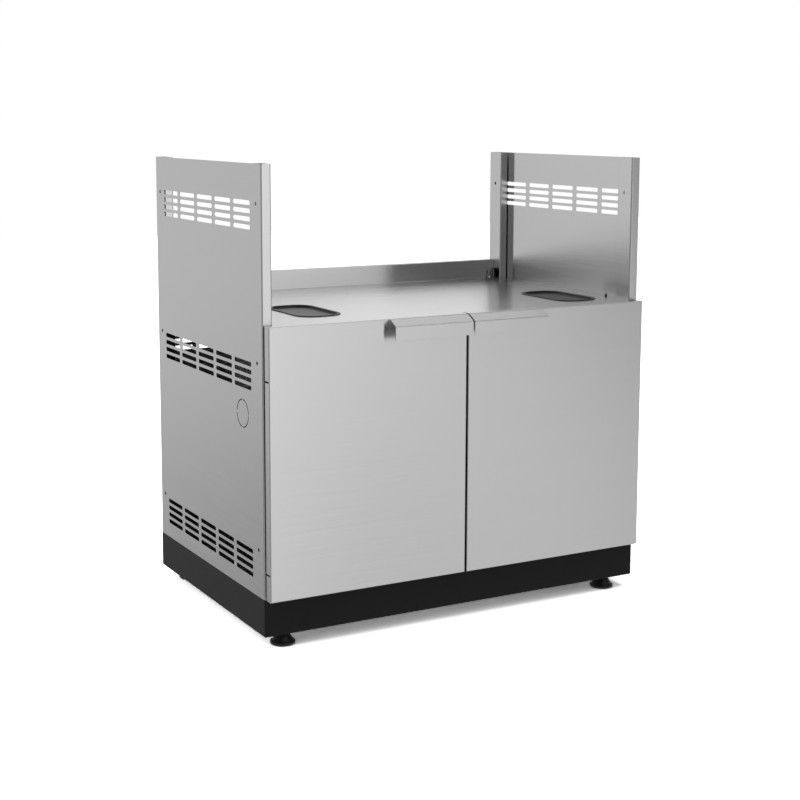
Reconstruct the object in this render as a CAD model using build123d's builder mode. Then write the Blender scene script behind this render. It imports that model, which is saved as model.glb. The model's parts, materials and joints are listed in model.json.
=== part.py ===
"""Outdoor kitchen cabinet that carries a drop-in grill.

Two tall vented side panels stand on a black base with four levelling feet. A deck with two
hose grommets joins them at waist height, and a pair of overlay doors closes the space below.

Frame: X to the right, Y to the back, Z up. The origin lies on the floor, under the middle of
the whole object. All lengths are in millimetres.
"""
import os

from build123d import *

os.makedirs("parts", exist_ok=True)

# Overall sizes
width = 838.0  # between the outer faces of the two side panels
body_depth = 526.0  # from the front flange to the rear flange
panel_top = 894.0  # top of the side panels above the floor
deck_top = 605.0  # the face that the grill stands on
base_top = 99.0
base_bottom = 27.0

# Sheet metal
sheet = 1.2
deck_sheet = 1.5
base_sheet = 1.6
bend = 1.2  # inside radius of a fold
fit = 0.3  # air between two pieces that slide together when the cabinet is built
overrun = 5.0  # how far a cutting shape passes the wall that it cuts

# Doors, measured from the front flange
door_gap = 3.0
door_thickness = 19.0
door_reveal = 3.0  # side panel's outer face to the door's outer edge
door_middle_gap = 4.0
door_rise = 0.5  # door's top above the deck
door_drop = 0.5  # door's bottom below the top of the base
door_edge_radius = 1.6

# Door handles: one folded strip a door
handle_length = 168.0
handle_sheet = 1.5
handle_reach = 23.0  # the lip's face in front of the door's face
handle_fall = 12.5  # how far the sloped top drops on its way to the lip
handle_lip = 25.5
handle_flange = 24.0  # the flange that is riveted to the door's face

# Folded box posts at the front and rear edge of each side panel
post_width = 20.0
post_depth = 46.0
return_gap = 2.0  # slit between the last fold and the panel's inner face
foot_fold = 24.0  # the panel's bottom fold, which rests on the base

# Vent slots: three groups in each side panel
vent_columns = 5
vent_rows = 4
vent_front_margin = 49.2  # from the front flange to the first slot of a row
vent_rear_margin = 44.0  # from the last slot to the rear flange
vent_bridge = 12.6  # metal between two slots of a row
vent_row_pitch = 14.7
vent_height = 8.5
vent_corner = 3.2
vent_top_rows = (823.0, 529.0, 178.0)  # heights of the top row of the upper, middle and lower group

# Holes for the bolts that join a neighbouring cabinet
joining_radius = 3.5
joining_inset = 23.0
joining_heights = (823.0, 535.0, 188.0)

# Knock-outs: a ring cut to four bridges
knockout_radius = 26.0
knockout_cut = 2.3
knockout_bridge = 4.0
panel_knockout_inset = 90.0  # from the front flange
panel_knockout_gap = 21.5  # from the middle vents down to the ring
deck_knockout_side = 111.0  # from the right panel's outer face
deck_knockout_rear = 58.0  # from the rear flange

# Deck
deck_front_fold = 30.0
deck_side_fold = 25.0
deck_upstand = 30.0
upstand_relief = 20.0  # the upstand stops this far short of the post
grommet_width = 96.0
grommet_length = 180.0
grommet_corner = 38.0
grommet_rim = 7.0
grommet_lap = 5.0  # how far the rubber lies over the deck
grommet_rise = 2.0
grommet_recess = 4.8  # from the rim's top down to the web that closes it
grommet_web = 1.5
grommet_notch = 1.2  # a cut across the rim, at its front and its back
left_grommet_side = 160.0  # centre from the left panel's outer face
left_grommet_front = 158.0  # centre from the front flange
right_grommet_side = 105.0
right_grommet_front = 128.0
pin_side = 18.0  # the grill's locating pins, from the panel's outer face
pin_front = 80.0
pin_foot_radius = 2.8
pin_tip_radius = 0.6
pin_rise = 8.0
pin_shank = 1.5

# Rails across the cabinet
rear_rail_top = 647.0
rear_rail_depth = 20.0
rear_rail_lip = 20.0
rear_rail_shelf = 45.0
cross_rail_height = 40.0
cross_rail_flange = 25.0
stiffener_clear = 57.0  # from the left grommet to the nearest stiffener's foot
stiffener_width = 40.0
stiffener_height = 20.0
stiffener_foot = 14.0
stiffener_front = 32.0  # its front end from the front flange

# Back and floor of the cabinet
back_flange = 17.0
back_hem = 18.0
back_vent_columns = 14
back_vent_margin = 11.7  # from the panel's end to the first slot
back_vent_top = 536.6  # height of the top row
floor_flange = 20.0

# Base
base_flange = 24.0
bracket_reach = 25.0  # how far a foot bracket passes the foot's axis
bracket_thickness = 3.0
nut_radius = 9.0
nut_height = 8.0

# Levelling feet
foot_side = 51.0  # foot's axis from the side panel's outer face
foot_front = 32.0  # and from the front or rear flange
foot_radius = 24.0
foot_rim = 6.5
foot_neck = 10.5
foot_height = 26.4
foot_edge = 1.5
foot_travel = 25.0
stud_radius = 5.0
stud_socket = 14.0
thread_clearance = 0.08

# Hinges: a flat leaf on the post reaches into a slit in the door and holds a pin
pivot_inset = 8.0  # pin's axis from the door's outer edge
pivot_front = 14.0  # pin's axis in front of the flange
pin_radius = 3.0
pin_length = 32.0
pin_clearance = 0.05
leaf_radius = 5.5
leaf_thickness = 2.5
leaf_knee = 6.0  # the leaf's knee in front of the flange
slit_reach = 24.0  # the slit in the door, inwards from the pin
slit_air = 0.4
hinge_plate_length = 40.0
hinge_plate_height = 40.0
hinge_plate_setback = 4.0
hinge_plate_thickness = 2.5
hinge_screw_inset = 9.0
upper_hinge_inset = 100.0  # from the door's top
lower_hinge_inset = 50.0  # from the door's bottom
block_length = 50.0
block_height = 36.0

# Catches and bumpers
catch_width = 42.0
catch_depth = 22.0
catch_height = 14.0
catch_inset = 22.0  # the catch's inner end from the middle of the cabinet
catch_front = 1.5  # its face in front of the flange
magnet_width = 30.0
magnet_depth = 9.0
magnet_height = 8.0
strike_width = 34.0
strike_height = 18.0
bumper_radius = 5.0
bumper_inset = 14.0  # from the door's edges

# Screws and rivets
screw_radius = 2.0
screw_hole = 2.15
screw_head = 4.0
screw_head_height = 2.2
screw_tail = 4.0
dome_share = 0.6  # of a head's height that is rounded
rivet_head = 3.6
rivet_head_height = 1.0

# Places that follow from the sizes above
front_reach = door_gap + door_thickness + handle_reach
front = front_reach - (body_depth + front_reach) / 2  # front flange's face
rear = front + body_depth
middle = (front + rear) / 2
side = width / 2
lip_face = side - post_width  # the post's face towards the bay
between_posts = lip_face - fit
between_skins = side - sheet - fit
post_front = front + post_depth
post_rear = rear - post_depth
deck_under = deck_top - deck_sheet
back_top = deck_under - sheet - fit
door_top = deck_top + door_rise
door_bottom = base_top - door_drop
door_height = door_top - door_bottom
door_back = front - door_gap
door_face = door_back - door_thickness
door_outer = side - door_reveal
door_inner = door_middle_gap / 2
door_width = door_outer - door_inner
door_mid = (door_outer + door_inner) / 2
pivot_x = door_outer - pivot_inset
pivot_y = front - pivot_front
upper_hinge = door_top - upper_hinge_inset
lower_hinge = door_bottom + lower_hinge_inset
hinge_heights = (upper_hinge, lower_hinge)
floor_under = base_top + sheet
vent_span = body_depth - vent_front_margin - vent_rear_margin
vent_length = (vent_span - vent_bridge * (vent_columns - 1)) / vent_columns
vent_mid = front + vent_front_margin + vent_span / 2
vent_drop = vent_row_pitch * (vent_rows - 1)  # from the top row to the bottom row of a group
knockout_outer = knockout_radius + knockout_cut / 2
middle_vents_bottom = vent_top_rows[1] - vent_drop - vent_height / 2
panel_knockout_height = middle_vents_bottom - panel_knockout_gap - knockout_outer
stiffener_reach = stiffener_width / 2 + stiffener_foot
stiffener_place = side - left_grommet_side - grommet_width / 2 - stiffener_clear - stiffener_reach
foot_x = side - foot_side
hands = {"left": -1, "right": 1}


def save(piece, name):
    """Labels a finished piece and writes its file."""
    piece.part.label = name
    export_step(piece.part, f"parts/{name}.step")


def drill(places, direction, radius, depth):
    """Cuts round holes in the piece being built, centred on each place."""
    with Locations(*[Plane(origin=place, z_dir=direction) for place in places]):
        Cylinder(radius, 2 * depth, mode=Mode.SUBTRACT)


def fasteners(name, planes, grip, head=screw_head, head_height=screw_head_height):
    """One node of equal fasteners: each plane lies on the sheet, facing out of the head."""
    with BuildPart() as one:
        Cylinder(head, head_height, align=(Align.CENTER, Align.CENTER, Align.MIN))
        fillet(one.edges().sort_by(Axis.Z)[-1], radius=head_height * dome_share)
        Cylinder(screw_radius, grip + screw_tail, align=(Align.CENTER, Align.CENTER, Align.MAX))
    with BuildPart() as group:
        with Locations(*planes):
            add(one.part)
    save(group, name)


# Places of the fasteners, each list used by the holes and by the fasteners themselves
rail_screw_heights = (deck_top + rear_rail_lip / 2, rear_rail_top - rear_rail_lip / 2)
rail_screw_y = rear - rear_rail_depth / 2
cross_screw_heights = (deck_under - cross_rail_height / 4, deck_under - cross_rail_height * 3 / 4)
cross_screw_y = front + deck_sheet + sheet + cross_rail_flange / 2
back_screw_shares = (0.12, 0.5, 0.88)
back_screw_heights = [base_top + (back_top - base_top) * share for share in back_screw_shares]
back_screw_y = rear - back_flange / 2
floor_screw_shares = (0.15, 0.38, 0.62, 0.85)
floor_screw_places = [post_front + (post_rear - post_front) * share for share in floor_screw_shares]
floor_screw_x = side - base_flange / 2
rivet_shares = (-0.9, -0.45, 0.0, 0.45, 0.9)
deck_rivet_xs = [between_posts * share for share in rivet_shares]
deck_rivet_z = deck_under - deck_front_fold / 2
plate_mid = front + hinge_plate_setback + hinge_plate_length / 2
plate_half_y = hinge_plate_length / 2 - hinge_screw_inset
plate_half_z = hinge_plate_height / 2 - hinge_screw_inset


def hinge_screw_places(hand, height):
    """The two screws of one hinge plate, on the post's face towards the bay."""
    return [
        (hand * lip_face, plate_mid - plate_half_y, height + plate_half_z),
        (hand * lip_face, plate_mid + plate_half_y, height - plate_half_z),
    ]


def lip_screw_places(hand):
    """Every screw that goes into one side panel's lips, along X."""
    places = [(hand * lip_face, rail_screw_y, height) for height in rail_screw_heights]
    places += [(hand * lip_face, cross_screw_y, height) for height in cross_screw_heights]
    places += [(hand * lip_face, back_screw_y, height) for height in back_screw_heights]
    for height in hinge_heights:
        places += hinge_screw_places(hand, height)
    return places


def knockout_ring():
    """A ring cut, left whole at four bridges, in the sketch being drawn."""
    Circle(knockout_outer)
    Circle(knockout_radius - knockout_cut / 2, mode=Mode.SUBTRACT)
    Rectangle(knockout_bridge, knockout_radius * 3, mode=Mode.SUBTRACT)
    Rectangle(knockout_radius * 3, knockout_bridge, mode=Mode.SUBTRACT)


# Side panels: one sheet folded into a skin and two box posts
def side_panel(word, hand):
    skin = side - sheet / 2
    lip = lip_face + sheet / 2
    last = side - sheet - return_gap
    plan = [
        (last, post_front - sheet / 2),
        (lip, post_front - sheet / 2),
        (lip, front + sheet / 2),
        (skin, front + sheet / 2),
        (skin, rear - sheet / 2),
        (lip, rear - sheet / 2),
        (lip, post_rear + sheet / 2),
        (last, post_rear + sheet / 2),
    ]
    fold_length = post_rear - post_front - 2 * fit
    with BuildPart() as panel:
        with BuildSketch(Plane.XY.offset(base_top)):
            with BuildLine():
                FilletPolyline([(hand * x, y) for x, y in plan], radius=bend + sheet / 2)
            trace(line_width=sheet)
        extrude(amount=panel_top - base_top)
        with Locations((hand * (side - foot_fold / 2), middle, base_top + sheet / 2)):
            Box(foot_fold, fold_length, sheet)
        with BuildSketch(Plane.YZ.offset(hand * side)):
            for top in vent_top_rows:
                with Locations((vent_mid, top - vent_drop / 2)):
                    with GridLocations(
                        vent_length + vent_bridge, vent_row_pitch, vent_columns, vent_rows
                    ):
                        RectangleRounded(vent_length, vent_height, vent_corner)
        extrude(amount=2 * sheet, both=True, mode=Mode.SUBTRACT)
        with BuildSketch(Plane.YZ.offset(hand * side)):
            with Locations((front + panel_knockout_inset, panel_knockout_height)):
                knockout_ring()
        extrude(amount=2 * sheet, both=True, mode=Mode.SUBTRACT)
        joins = [
            (hand * side, y, height)
            for y in (front + joining_inset, rear - joining_inset)
            for height in joining_heights
        ]
        drill(joins, (1, 0, 0), joining_radius, post_width + overrun)
        drill(lip_screw_places(hand), (1, 0, 0), screw_hole, 2 * sheet)
        feet = [(hand * floor_screw_x, y, base_top) for y in floor_screw_places]
        drill(feet, (0, 0, 1), screw_hole, 2 * sheet)
    save(panel, f"{word}_side_panel")


for word, hand in hands.items():
    side_panel(word, hand)

# Deck: one sheet with folds on all four edges and cut corners that clear the posts
upstand_y = rear - rear_rail_depth + sheet + deck_sheet / 2
grommets = {
    "left": (left_grommet_side - side, front + left_grommet_front),
    "right": (side - right_grommet_side, front + right_grommet_front),
}
cutout_width = grommet_width - 2 * grommet_lap
cutout_length = grommet_length - 2 * grommet_lap
cutout_corner = grommet_corner - grommet_lap
with BuildPart() as deck:
    with BuildSketch(Plane.YZ):
        with BuildLine():
            FilletPolyline(
                (front + deck_sheet / 2, deck_top - deck_front_fold),
                (front + deck_sheet / 2, deck_top - deck_sheet / 2),
                (upstand_y, deck_top - deck_sheet / 2),
                (upstand_y, deck_top + deck_upstand),
                radius=bend + deck_sheet / 2,
            )
        trace(line_width=deck_sheet)
    extrude(amount=between_posts, both=True)
    with BuildSketch(Plane.XZ.offset(-middle)):
        with BuildLine():
            fold_x = between_skins - deck_sheet / 2
            FilletPolyline(
                (-fold_x, deck_top - deck_side_fold),
                (-fold_x, deck_top - deck_sheet / 2),
                (fold_x, deck_top - deck_sheet / 2),
                (fold_x, deck_top - deck_side_fold),
                radius=bend + deck_sheet / 2,
            )
        trace(line_width=deck_sheet)
    extrude(amount=(post_rear - post_front) / 2 - fit, both=True)
    for hand in hands.values():
        with Locations((hand * between_posts, rear, deck_top + deck_upstand / 2)):
            Box(2 * upstand_relief, 2 * rear_rail_depth, deck_upstand, mode=Mode.SUBTRACT)
    with BuildSketch(Plane.XY.offset(deck_top)):
        for place in grommets.values():
            with Locations(place):
                RectangleRounded(cutout_width, cutout_length, cutout_corner)
    extrude(amount=2 * deck_sheet, both=True, mode=Mode.SUBTRACT)
    with BuildSketch(Plane.XY.offset(deck_top)):
        with Locations((side - deck_knockout_side, rear - deck_knockout_rear)):
            knockout_ring()
    extrude(amount=2 * deck_sheet, both=True, mode=Mode.SUBTRACT)
    drill([(x, front, deck_rivet_z) for x in deck_rivet_xs], (0, 1, 0), screw_hole, 2 * deck_sheet)
    pin_places = [(hand * (side - pin_side), front + pin_front, deck_top) for hand in hands.values()]
    drill(pin_places, (0, 0, 1), pin_shank + thread_clearance, 2 * deck_sheet)
save(deck, "deck")

# Locating pins: two pointed plugs in the deck that guide the grill down
with BuildPart() as deck_pins:
    with Locations(*pin_places):
        Cone(pin_foot_radius, pin_tip_radius, pin_rise, align=(Align.CENTER, Align.CENTER, Align.MIN))
        Cylinder(pin_shank, 2 * deck_sheet, align=(Align.CENTER, Align.CENTER, Align.MAX))
save(deck_pins, "deck_locating_pins")

# Grommets: rubber trays round the deck's edge, closed by a web that is cut out for a hose
grommet_top = deck_top + grommet_rise
web_top = grommet_top - grommet_recess
web_under = web_top - grommet_web
for word, place in grommets.items():
    with BuildPart() as grommet:
        with BuildSketch(Plane.XY.offset(web_under)):
            with Locations(place):
                RectangleRounded(cutout_width - fit, cutout_length - fit, cutout_corner - fit / 2)
        extrude(amount=grommet_top - web_under)
        for height in (deck_under - grommet_rise, deck_top):
            with BuildSketch(Plane.XY.offset(height)):
                with Locations(place):
                    RectangleRounded(grommet_width, grommet_length, grommet_corner)
            extrude(amount=grommet_rise)
        fillet(grommet.faces().sort_by(Axis.Z)[-1].outer_wire().edges(), radius=grommet_rise / 2)
        with BuildSketch(Plane.XY.offset(web_top)):
            with Locations(place):
                RectangleRounded(
                    grommet_width - 2 * grommet_rim,
                    grommet_length - 2 * grommet_rim,
                    grommet_corner - grommet_rim,
                )
        extrude(amount=grommet_recess + overrun, mode=Mode.SUBTRACT)
        with Locations((place[0], place[1], grommet_top)):
            Box(grommet_notch, 2 * grommet_length, 2 * grommet_recess, mode=Mode.SUBTRACT)
    save(grommet, f"{word}_grommet")

# Rear rail: a folded channel whose lip laps over the deck's upstand
with BuildPart() as rear_rail:
    with BuildSketch(Plane.YZ):
        with BuildLine():
            FilletPolyline(
                (rear - rear_rail_depth + sheet / 2, rear_rail_top - rear_rail_lip),
                (rear - rear_rail_depth + sheet / 2, rear_rail_top - sheet / 2),
                (rear - sheet / 2, rear_rail_top - sheet / 2),
                (rear - sheet / 2, deck_under - sheet / 2),
                (rear - rear_rail_shelf, deck_under - sheet / 2),
                radius=bend + sheet / 2,
            )
        trace(line_width=sheet)
    extrude(amount=between_posts, both=True)
    end_bottom = deck_top + fit
    end_height = rear_rail_top - sheet - end_bottom
    for hand in hands.values():
        with Locations((hand * (between_posts - sheet / 2), rail_screw_y, end_bottom + end_height / 2)):
            Box(sheet, rear_rail_depth - 2 * sheet, end_height)
        ends = [(hand * lip_face, rail_screw_y, height) for height in rail_screw_heights]
        drill(ends, (1, 0, 0), screw_hole, 2 * sheet)
save(rear_rail, "rear_rail")

# Front cross rail: a channel behind the deck's front fold
cross_y = front + deck_sheet + sheet / 2
with BuildPart() as cross_rail:
    with BuildSketch(Plane.YZ):
        with BuildLine():
            FilletPolyline(
                (cross_y + cross_rail_flange, deck_under - sheet / 2),
                (cross_y, deck_under - sheet / 2),
                (cross_y, deck_under - cross_rail_height + sheet / 2),
                (cross_y + cross_rail_flange, deck_under - cross_rail_height + sheet / 2),
                radius=bend + sheet / 2,
            )
        trace(line_width=sheet)
    extrude(amount=between_posts, both=True)
    for hand in hands.values():
        with Locations(
            (hand * (between_posts - sheet / 2), cross_screw_y, deck_under - cross_rail_height / 2)
        ):
            Box(sheet, cross_rail_flange - sheet, cross_rail_height - 2 * sheet)
        ends = [(hand * lip_face, cross_screw_y, height) for height in cross_screw_heights]
        drill(ends, (1, 0, 0), screw_hole, 2 * sheet)
    drill([(x, cross_y, deck_rivet_z) for x in deck_rivet_xs], (0, 1, 0), screw_hole, 2 * sheet)
    catch_mid = catch_inset + catch_width / 2
    catch_screw_y = front + catch_depth * 2 / 3
    catch_screw_xs = (catch_mid - catch_width / 3, catch_mid + catch_width / 3)
    catch_screw_places = [
        (hand * x, catch_screw_y, deck_under - cross_rail_height)
        for hand in hands.values()
        for x in catch_screw_xs
    ]
    drill(catch_screw_places, (0, 0, 1), screw_hole, 2 * sheet)
save(cross_rail, "front_cross_rail")

# Deck stiffeners: two hat channels welded under the deck
stiffener_rear = rear - rear_rail_shelf - fit
stiffener_start = front + stiffener_front
for word, hand in hands.items():
    centre = hand * stiffener_place
    wall = stiffener_width / 2 - sheet / 2
    low = deck_under - stiffener_height + sheet / 2
    high = deck_under - sheet / 2
    with BuildPart() as stiffener:
        with BuildSketch(Plane.XZ.offset(-stiffener_start)):
            with BuildLine():
                FilletPolyline(
                    (centre - stiffener_reach, high),
                    (centre - wall, high),
                    (centre - wall, low),
                    (centre + wall, low),
                    (centre + wall, high),
                    (centre + stiffener_reach, high),
                    radius=bend + sheet / 2,
                )
            trace(line_width=sheet)
        extrude(amount=stiffener_start - stiffener_rear)
    save(stiffener, f"{word}_deck_stiffener")

# Back panel: closes the rear up to the deck, with a band of vents near its top
back_x = between_posts - sheet / 2
back_vent_span = 2 * (between_posts - back_vent_margin)
back_vent_length = (back_vent_span - vent_bridge * (back_vent_columns - 1)) / back_vent_columns
with BuildPart() as back_panel:
    with BuildSketch(Plane.XY.offset(base_top)):
        with BuildLine():
            FilletPolyline(
                (-back_x, rear - back_flange),
                (-back_x, rear - sheet / 2),
                (back_x, rear - sheet / 2),
                (back_x, rear - back_flange),
                radius=bend + sheet / 2,
            )
        trace(line_width=sheet)
    extrude(amount=back_top - base_top)
    with Locations((0, rear - back_hem / 2, back_top - sheet / 2)):
        Box(2 * (between_posts - sheet - fit), back_hem, sheet)
    with BuildSketch(Plane.XZ.offset(-rear)):
        with Locations((0, back_vent_top - vent_drop / 2)):
            with GridLocations(
                back_vent_length + vent_bridge, vent_row_pitch, back_vent_columns, vent_rows
            ):
                RectangleRounded(back_vent_length, vent_height, vent_corner)
    extrude(amount=2 * sheet, both=True, mode=Mode.SUBTRACT)
    for hand in hands.values():
        ends = [(hand * lip_face, back_screw_y, height) for height in back_screw_heights]
        drill(ends, (1, 0, 0), screw_hole, 2 * sheet)
save(back_panel, "back_panel")

# Floor panel: a tray that rests on the side panels' bottom folds
floor_x = between_posts - sheet - bend - fit
floor_rear = rear - sheet - fit - sheet / 2
floor_z = floor_under + sheet / 2
with BuildPart() as floor_panel:
    with BuildSketch(Plane.YZ):
        with BuildLine():
            FilletPolyline(
                (front + sheet / 2, floor_under + floor_flange),
                (front + sheet / 2, floor_z),
                (floor_rear, floor_z),
                (floor_rear, floor_under + floor_flange),
                radius=bend + sheet / 2,
            )
        trace(line_width=sheet)
    extrude(amount=floor_x, both=True)
    with BuildSketch(Plane.XZ.offset(-middle)):
        with BuildLine():
            tray_x = between_skins - sheet / 2
            FilletPolyline(
                (-tray_x, floor_under + floor_flange),
                (-tray_x, floor_z),
                (tray_x, floor_z),
                (tray_x, floor_under + floor_flange),
                radius=bend + sheet / 2,
            )
        trace(line_width=sheet)
    extrude(amount=(post_rear - post_front) / 2 - fit, both=True)
    floor_screws = [
        (hand * floor_screw_x, y, floor_under + sheet)
        for hand in hands.values()
        for y in floor_screw_places
    ]
    drill(floor_screws, (0, 0, 1), screw_hole, 2 * sheet)
save(floor_panel, "floor_panel")


# Base: four channels, open inwards and mitred at the corners
def base_rail(name, centre, half, inward, along):
    """One channel with its outer face at centre; along and inward are directions."""
    profile = Plane(origin=centre, x_dir=inward, z_dir=along)
    ends = []
    for sign in (-1, 1):
        corner = Vector(*centre) + Vector(*along) * (sign * half)
        ends.append(Plane(origin=corner, z_dir=Vector(*along) * -sign - Vector(*inward)))
    with BuildPart() as rail:
        with BuildSketch(profile):
            with BuildLine():
                FilletPolyline(
                    (base_flange, base_bottom + base_sheet / 2),
                    (base_sheet / 2, base_bottom + base_sheet / 2),
                    (base_sheet / 2, base_top - base_sheet / 2),
                    (base_flange, base_top - base_sheet / 2),
                    radius=bend + base_sheet / 2,
                )
            trace(line_width=base_sheet)
        extrude(amount=half, both=True)
        for end in ends:
            split(bisect_by=end, keep=Keep.TOP)
        drill(floor_screws, (0, 0, 1), screw_hole, 4 * base_sheet)
    save(rail, name)


base_rail("front_base_rail", (0, front, 0), side, (0, 1, 0), (1, 0, 0))
base_rail("rear_base_rail", (0, rear, 0), side, (0, -1, 0), (-1, 0, 0))
base_rail("right_base_rail", (side, middle, 0), body_depth / 2, (-1, 0, 0), (0, 1, 0))
base_rail("left_base_rail", (-side, middle, 0), body_depth / 2, (1, 0, 0), (0, -1, 0))

# Feet: a pad on a threaded stud, held by the nut of a corner bracket
bracket_under = base_bottom + base_sheet
nut_top = bracket_under + bracket_thickness + nut_height
stud_bottom = foot_height - stud_socket
stud_top = nut_top + foot_travel
for row, row_sign in (("front", 1), ("rear", -1)):
    edge_y = front if row_sign > 0 else rear
    foot_y = edge_y + row_sign * foot_front
    for word, hand in hands.items():
        corner = f"{row}_{word}"
        axis = Axis((hand * foot_x, foot_y, 0), (0, 0, 1))
        inner_x = side - base_sheet - bend - fit
        inner_y = foot_front + bracket_reach
        plate_x = inner_x - (foot_x - bracket_reach)
        plate_y = inner_y - base_sheet - bend - fit
        with BuildPart() as bracket:
            with Locations(
                (
                    hand * (inner_x - plate_x / 2),
                    edge_y + row_sign * (inner_y - plate_y / 2),
                    bracket_under + bracket_thickness / 2,
                )
            ):
                Box(plate_x, plate_y, bracket_thickness)
            with BuildSketch(Plane.XY.offset(bracket_under + bracket_thickness)):
                with Locations((hand * foot_x, foot_y)):
                    RegularPolygon(nut_radius, 6)
            extrude(amount=nut_height)
            drill([(hand * foot_x, foot_y, nut_top)], (0, 0, 1), stud_radius + thread_clearance, nut_top)
        save(bracket, f"{corner}_foot_bracket")

        with BuildPart() as pad:
            with BuildSketch(Plane(origin=axis.position, x_dir=(1, 0, 0), z_dir=(0, -1, 0))):
                with BuildLine():
                    Polyline(
                        (0, 0),
                        (foot_radius, 0),
                        (foot_radius, foot_rim),
                        (foot_neck, foot_height),
                        (0, foot_height),
                        close=True,
                    )
                make_face()
            revolve(axis=axis)
            rims = pad.edges().filter_by(GeomType.CIRCLE).group_by(SortBy.RADIUS)[-1]
            fillet(rims, radius=foot_edge)
            with Locations((hand * foot_x, foot_y, foot_height)):
                Cylinder(stud_radius + thread_clearance, 2 * stud_socket, mode=Mode.SUBTRACT)
        save(pad, f"{corner}_foot_pad")

        with BuildPart() as stud:
            with BuildSketch(Plane.XY.offset(stud_bottom)):
                with Locations((hand * foot_x, foot_y)):
                    Circle(stud_radius)
            extrude(amount=stud_top - stud_bottom)
            chamfer(stud.faces().sort_by(Axis.Z)[-1].edges(), length=stud_radius / 5)
            with Locations((hand * foot_x, foot_y, stud_top)):
                Box(4 * stud_radius, stud_radius / 4, stud_radius / 2, mode=Mode.SUBTRACT)
        save(stud, f"{corner}_foot_stud")

# Hinge brackets: a plate on the post and a flat leaf that reaches to the door's pin
knee_x = lip_face - fit - leaf_radius
knee_y = front - leaf_knee
for word, hand in hands.items():
    for level, height in (("upper", upper_hinge), ("lower", lower_hinge)):
        with BuildPart() as hinge:
            with Locations((hand * (lip_face - hinge_plate_thickness / 2), plate_mid, height)):
                Box(hinge_plate_thickness, hinge_plate_length, hinge_plate_height)
            with BuildSketch(Plane.XY.offset(height - leaf_thickness / 2)):
                SlotCenterPoint(
                    (hand * (pivot_x + knee_x) / 2, (pivot_y + knee_y) / 2),
                    (hand * pivot_x, pivot_y),
                    2 * leaf_radius,
                )
                arm = plate_mid + hinge_plate_length / 2 - knee_y
                with Locations((hand * knee_x, knee_y + arm / 2)):
                    Rectangle(2 * leaf_radius, arm)
                with Locations((hand * pivot_x, pivot_y)):
                    Circle(pin_radius + pin_clearance, mode=Mode.SUBTRACT)
            extrude(amount=leaf_thickness)
            drill(hinge_screw_places(hand, height), (1, 0, 0), screw_hole, 2 * hinge_plate_thickness)
        save(hinge, f"{word}_{level}_hinge_bracket")

# Magnetic catches under the cross rail, one for each door
catch_top = deck_under - cross_rail_height
catch_face = front - catch_front
with BuildPart() as magnets:
    for hand in hands.values():
        with Locations((hand * catch_mid, catch_face + magnet_depth / 2, catch_top - catch_height / 2)):
            Box(magnet_width, magnet_depth, magnet_height)
save(magnets, "catch_magnets")
for word, hand in hands.items():
    with BuildPart() as catch:
        with Locations((hand * catch_mid, catch_face + catch_depth / 2, catch_top - catch_height / 2)):
            Box(catch_width, catch_depth, catch_height)
        chamfer(catch.edges().filter_by(Axis.Z), length=2 * sheet)
        with Locations((hand * catch_mid, catch_face, catch_top - catch_height / 2)):
            Box(
                magnet_width + 2 * fit,
                2 * magnet_depth + 2 * fit,
                magnet_height + 2 * fit,
                mode=Mode.SUBTRACT,
            )
        drill(catch_screw_places, (0, 0, 1), screw_hole, catch_height + overrun)
    save(catch, f"{word}_magnetic_catch")


# Doors: a folded skin, a liner that closes its back, and the hinge pins in solid blocks
def hinge_slits(hand):
    """Cuts the slits that the hinge leaves need, in the piece being built."""
    slit_width = pivot_inset + overrun + slit_reach
    slit_front = pivot_y - leaf_radius - slit_air
    slit_depth = door_back + overrun - slit_front
    for height in hinge_heights:
        with Locations(
            (
                hand * (door_outer + overrun - slit_width / 2),
                slit_front + slit_depth / 2,
                height,
            )
        ):
            Box(slit_width, slit_depth, leaf_thickness + 2 * slit_air, mode=Mode.SUBTRACT)


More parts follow.
